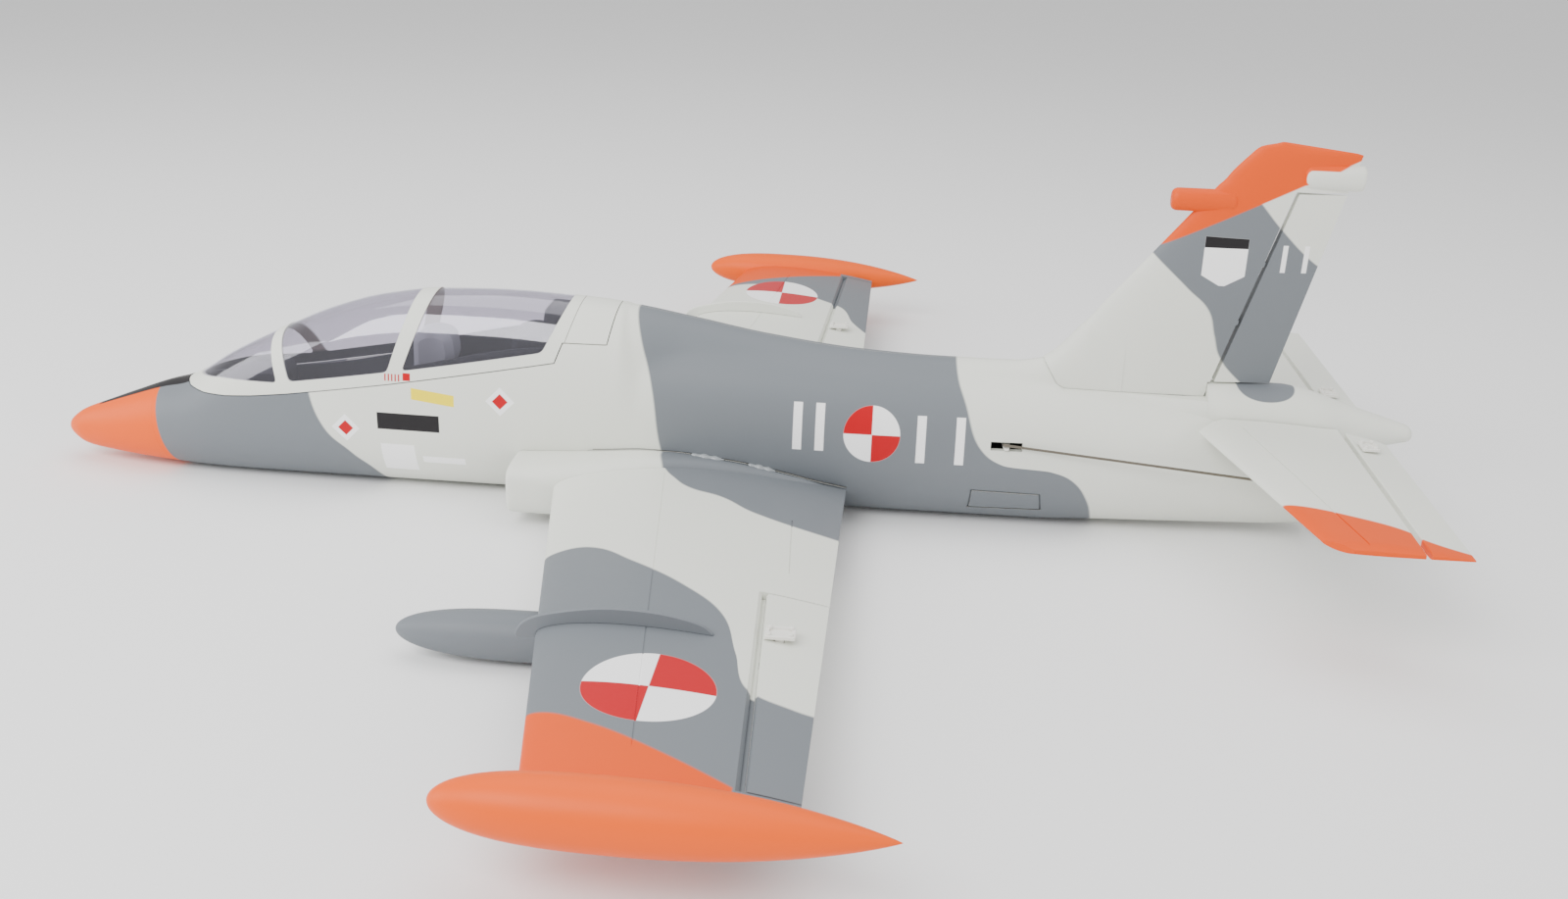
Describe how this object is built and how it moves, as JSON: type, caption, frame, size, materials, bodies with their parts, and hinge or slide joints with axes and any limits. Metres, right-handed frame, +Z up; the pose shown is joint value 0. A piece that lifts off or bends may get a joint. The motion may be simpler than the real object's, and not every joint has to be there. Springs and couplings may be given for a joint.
{
  "type": "rc jet plane",
  "caption": "Foam radio-controlled ducted-fan jet trainer with tandem canopy, straight tapered wings, tip tanks, swept fin and working control surfaces.",
  "frame": {"origin": "centre of the bounding box on the belly plane, midway between nose tip and tail cone on the centre line", "axes": "+X aft along the fuselage, +Y to starboard, +Z up; port is -Y and the nose points to -X"},
  "size_m": [0.948, 0.9332, 0.266],
  "materials": {
    "foam_light": "satin",
    "foam_grey": "satin",
    "foam_orange": "satin",
    "canopy_clear": "gloss",
    "cockpit_dark": "matte",
    "seat_grey": "matte",
    "horn_nylon": "satin",
    "duct_black": "matte",
    "electronics": "satin",
    "plated_steel": "satin",
    "motor_alloy": "satin",
    "carbon_tube": "gloss",
    "plywood": "matte"
  },
  "bodies": {
    "airframe": {"nose_cone": "foam_orange", "fuselage_left_half": "foam_light", "fuselage_right_half": "foam_light", "tail_fairing": "foam_light", "left_intake": "foam_light", "right_intake": "foam_light", "inlet_duct": "duct_black", "exhaust_duct": "duct_black", "fan_housing": "duct_black", "fan_motor": "motor_alloy", "battery_tray": "plywood", "battery": "electronics", "speed_controller": "electronics", "receiver": "electronics", "wing_spar": "carbon_tube", "fuselage_magnet": "plated_steel", "left_wing": "foam_light", "right_wing": "foam_light", "left_tip_tank": "foam_orange", "right_tip_tank": "foam_orange", "left_wing_fence": "foam_light", "right_wing_fence": "foam_light", "left_drop_tank": "foam_grey", "right_drop_tank": "foam_grey", "fin": "foam_light", "left_stabilizer": "foam_light", "right_stabilizer": "foam_light", "left_aileron_servo": "electronics", "right_aileron_servo": "electronics", "left_elevator_servo": "electronics", "right_elevator_servo": "electronics", "rudder_servo": "electronics"},
    "canopy_hatch": {"canopy_frame": "foam_light", "canopy_glazing": "canopy_clear", "hatch_rear_fairing": "foam_light", "cockpit_tub": "cockpit_dark", "front_seat": "seat_grey", "rear_seat": "seat_grey", "hatch_magnet": "plated_steel"},
    "fan": {"fan_rotor": "duct_black"},
    "left_aileron": {"left_aileron": "foam_light", "left_aileron_horn": "horn_nylon"},
    "right_aileron": {"right_aileron": "foam_light", "right_aileron_horn": "horn_nylon"},
    "left_elevator": {"left_elevator": "foam_light", "left_elevator_horn": "horn_nylon"},
    "right_elevator": {"right_elevator": "foam_light", "right_elevator_horn": "horn_nylon"},
    "rudder": {"rudder": "foam_light", "rudder_horn": "horn_nylon"},
    "left_aileron_arm": {"left_aileron_servo_arm": "horn_nylon"},
    "left_aileron_rod": {"left_aileron_pushrod": "plated_steel"},
    "right_aileron_arm": {"right_aileron_servo_arm": "horn_nylon"},
    "right_aileron_rod": {"right_aileron_pushrod": "plated_steel"},
    "left_elevator_arm": {"left_elevator_servo_arm": "horn_nylon"},
    "left_elevator_rod": {"left_elevator_pushrod": "plated_steel"},
    "right_elevator_arm": {"right_elevator_servo_arm": "horn_nylon"},
    "right_elevator_rod": {"right_elevator_pushrod": "plated_steel"},
    "rudder_arm": {"rudder_servo_arm": "horn_nylon"},
    "rudder_rod": {"rudder_pushrod": "plated_steel"}
  },
  "joints": [
    {"name": "canopy_lift", "type": "slide", "parent": "airframe", "child": "canopy_hatch", "axis": [0, 0, 1], "range_m": [0, 0.12]},
    {"name": "fan_spin", "type": "hinge", "parent": "airframe", "child": "fan", "pos_m": [0.109, 0, 0.042], "axis": [1, 0, 0], "continuous": true},
    {"name": "left_aileron_hinge", "type": "hinge", "parent": "airframe", "child": "left_aileron", "pos_m": [0.061, -0.228, 0.0355], "axis": [-0.0526, 0.9977, -0.0417], "range_deg": [-18, 18]},
    {"name": "right_aileron_hinge", "type": "hinge", "parent": "airframe", "child": "right_aileron", "pos_m": [0.061, 0.228, 0.0355], "axis": [0.0526, 0.9977, 0.0417], "range_deg": [-18, 18]},
    {"name": "left_elevator_hinge", "type": "hinge", "parent": "airframe", "child": "left_elevator", "pos_m": [0.423, -0.03, 0.0794], "axis": [0, 1, 0], "range_deg": [-15, 15]},
    {"name": "right_elevator_hinge", "type": "hinge", "parent": "airframe", "child": "right_elevator", "pos_m": [0.423, 0.03, 0.0794], "axis": [0, 1, 0], "range_deg": [-15, 15]},
    {"name": "rudder_hinge", "type": "hinge", "parent": "airframe", "child": "rudder", "pos_m": [0.3385, 0, 0.106], "axis": [0.2777, 0, 0.9607], "range_deg": [-20, 20]},
    {"name": "left_aileron_servo_turn", "type": "hinge", "parent": "airframe", "child": "left_aileron_arm", "pos_m": [-0.004, -0.28, 0.0358], "axis": [0, 1, 0], "range_deg": [-20, 20]},
    {"name": "left_aileron_rod_push", "type": "slide", "parent": "airframe", "child": "left_aileron_rod", "axis": [0.9996, 0, 0.0273], "range_m": [-0.0045, 0.0045]},
    {"name": "right_aileron_servo_turn", "type": "hinge", "parent": "airframe", "child": "right_aileron_arm", "pos_m": [-0.004, 0.28, 0.0358], "axis": [0, 1, 0], "range_deg": [-20, 20]},
    {"name": "right_aileron_rod_push", "type": "slide", "parent": "airframe", "child": "right_aileron_rod", "axis": [0.9996, 0, 0.0273], "range_m": [-0.0045, 0.0045]},
    {"name": "left_elevator_servo_turn", "type": "hinge", "parent": "airframe", "child": "left_elevator_arm", "pos_m": [0.203, -0.025, 0.0624], "axis": [0, 0, 1], "range_deg": [-30, 30]},
    {"name": "left_elevator_rod_push", "type": "slide", "parent": "airframe", "child": "left_elevator_rod", "axis": [0.9969, -0.0372, -0.0694], "range_m": [-0.0085, 0.0085]},
    {"name": "right_elevator_servo_turn", "type": "hinge", "parent": "airframe", "child": "right_elevator_arm", "pos_m": [0.203, 0.025, 0.0624], "axis": [0, 0, 1], "range_deg": [-30, 30]},
    {"name": "right_elevator_rod_push", "type": "slide", "parent": "airframe", "child": "right_elevator_rod", "axis": [0.9969, 0.0372, -0.0694], "range_m": [-0.0085, 0.0085]},
    {"name": "rudder_servo_turn", "type": "hinge", "parent": "airframe", "child": "rudder_arm", "pos_m": [0.28949, 0.002, 0.15972], "axis": [0.2777, 0, 0.9607], "range_deg": [-24, 24]},
    {"name": "rudder_rod_push", "type": "slide", "parent": "airframe", "child": "rudder_rod", "axis": [0.9607, 0, -0.2777], "range_m": [-0.0048, 0.0048]}
  ],
  "couplings": [
    {"joint": "right_aileron_hinge", "follows": "left_aileron_hinge", "ratio": -1},
    {"joint": "right_elevator_hinge", "follows": "left_elevator_hinge", "ratio": 1},
    {"joint": "left_aileron_servo_turn", "follows": "left_aileron_hinge", "ratio": 1},
    {"joint": "left_aileron_rod_push", "follows": "left_aileron_hinge", "m_per_rad": -0.013},
    {"joint": "right_aileron_servo_turn", "follows": "left_aileron_hinge", "ratio": -1},
    {"joint": "right_aileron_rod_push", "follows": "left_aileron_hinge", "m_per_rad": 0.013},
    {"joint": "left_elevator_servo_turn", "follows": "left_elevator_hinge", "ratio": -1.929},
    {"joint": "left_elevator_rod_push", "follows": "left_elevator_hinge", "m_per_rad": -0.0299},
    {"joint": "right_elevator_servo_turn", "follows": "left_elevator_hinge", "ratio": 1.929},
    {"joint": "right_elevator_rod_push", "follows": "left_elevator_hinge", "m_per_rad": -0.0299},
    {"joint": "rudder_servo_turn", "follows": "rudder_hinge", "ratio": 1.1739},
    {"joint": "rudder_rod_push", "follows": "rudder_hinge", "m_per_rad": -0.0135}
  ]
}
